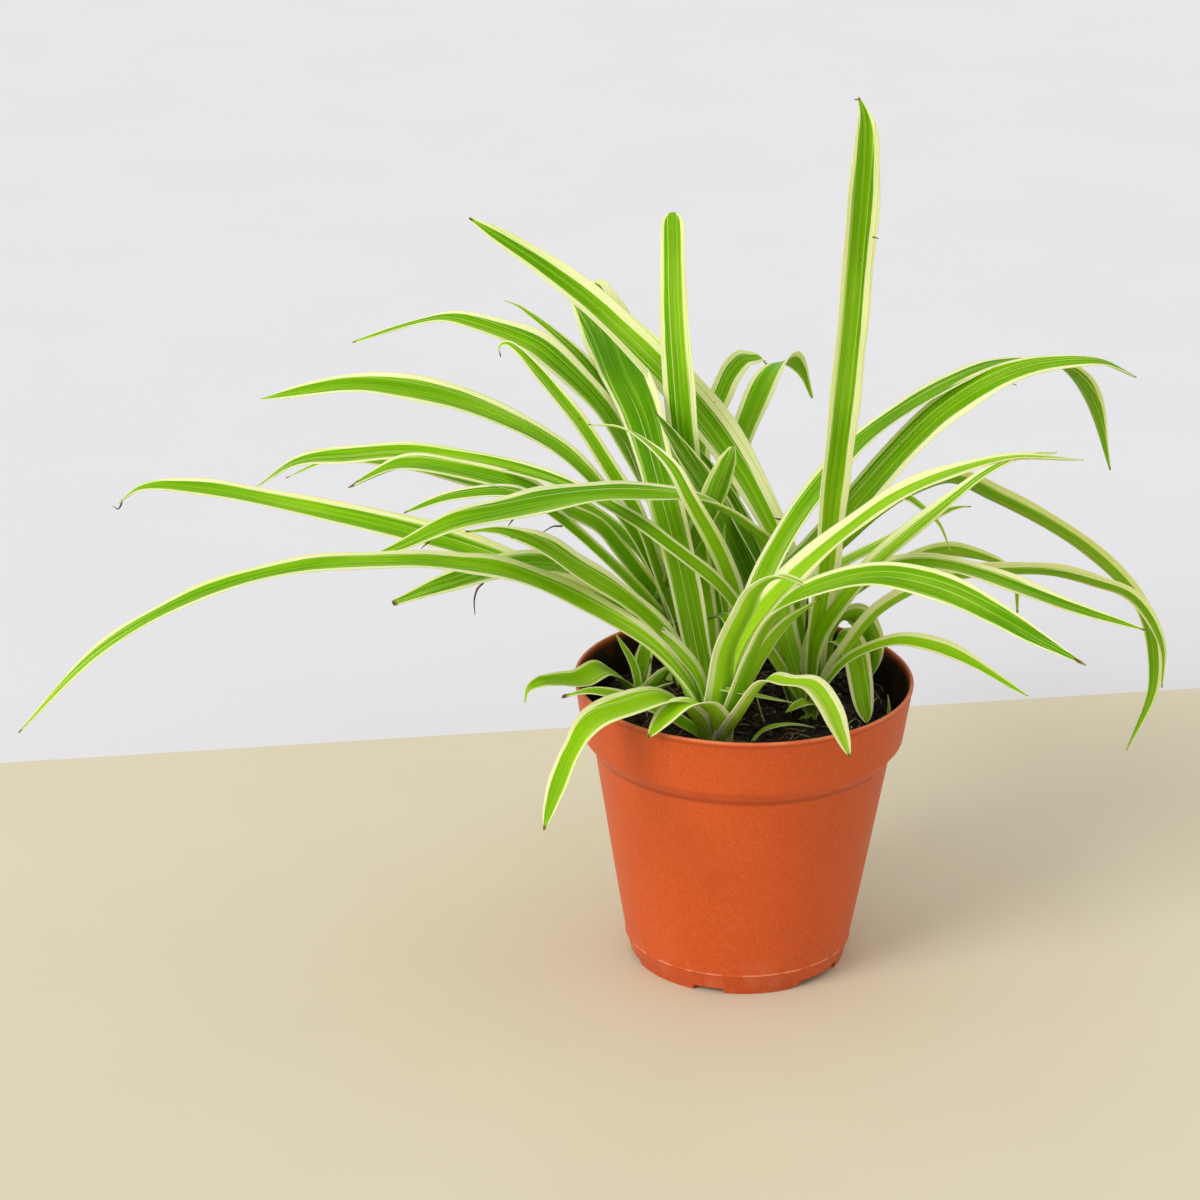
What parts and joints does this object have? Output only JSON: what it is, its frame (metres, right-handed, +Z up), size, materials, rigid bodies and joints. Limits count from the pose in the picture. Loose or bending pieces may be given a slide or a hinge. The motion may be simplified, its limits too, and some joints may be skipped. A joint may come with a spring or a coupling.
{
  "type": "potted spider plant",
  "caption": "Variegated spider plant with long arching leaves in several crowns, growing in peat soil in a tapered plastic nursery pot.",
  "frame": {"origin": "centre of the pot's underside, on the plane it stands on", "axes": "+Z up the pot's axis, +X to the viewer's right, -Y towards the viewer; the leaves spread furthest along X"},
  "size_m": [0.34, 0.2249, 0.2671],
  "materials": {
    "pot": "moulded terracotta-orange polypropylene, satin",
    "soil": "damp dark peat, rough",
    "leaves": "smooth waxy living leaf, green with cream margins"
  },
  "bodies": {
    "root": {"pot": "pot", "soil": "soil", "crown_front": "leaves", "crown_right": "leaves", "crown_back": "leaves", "crown_left": "leaves", "sprout": "leaves"}
  },
  "joints": []
}
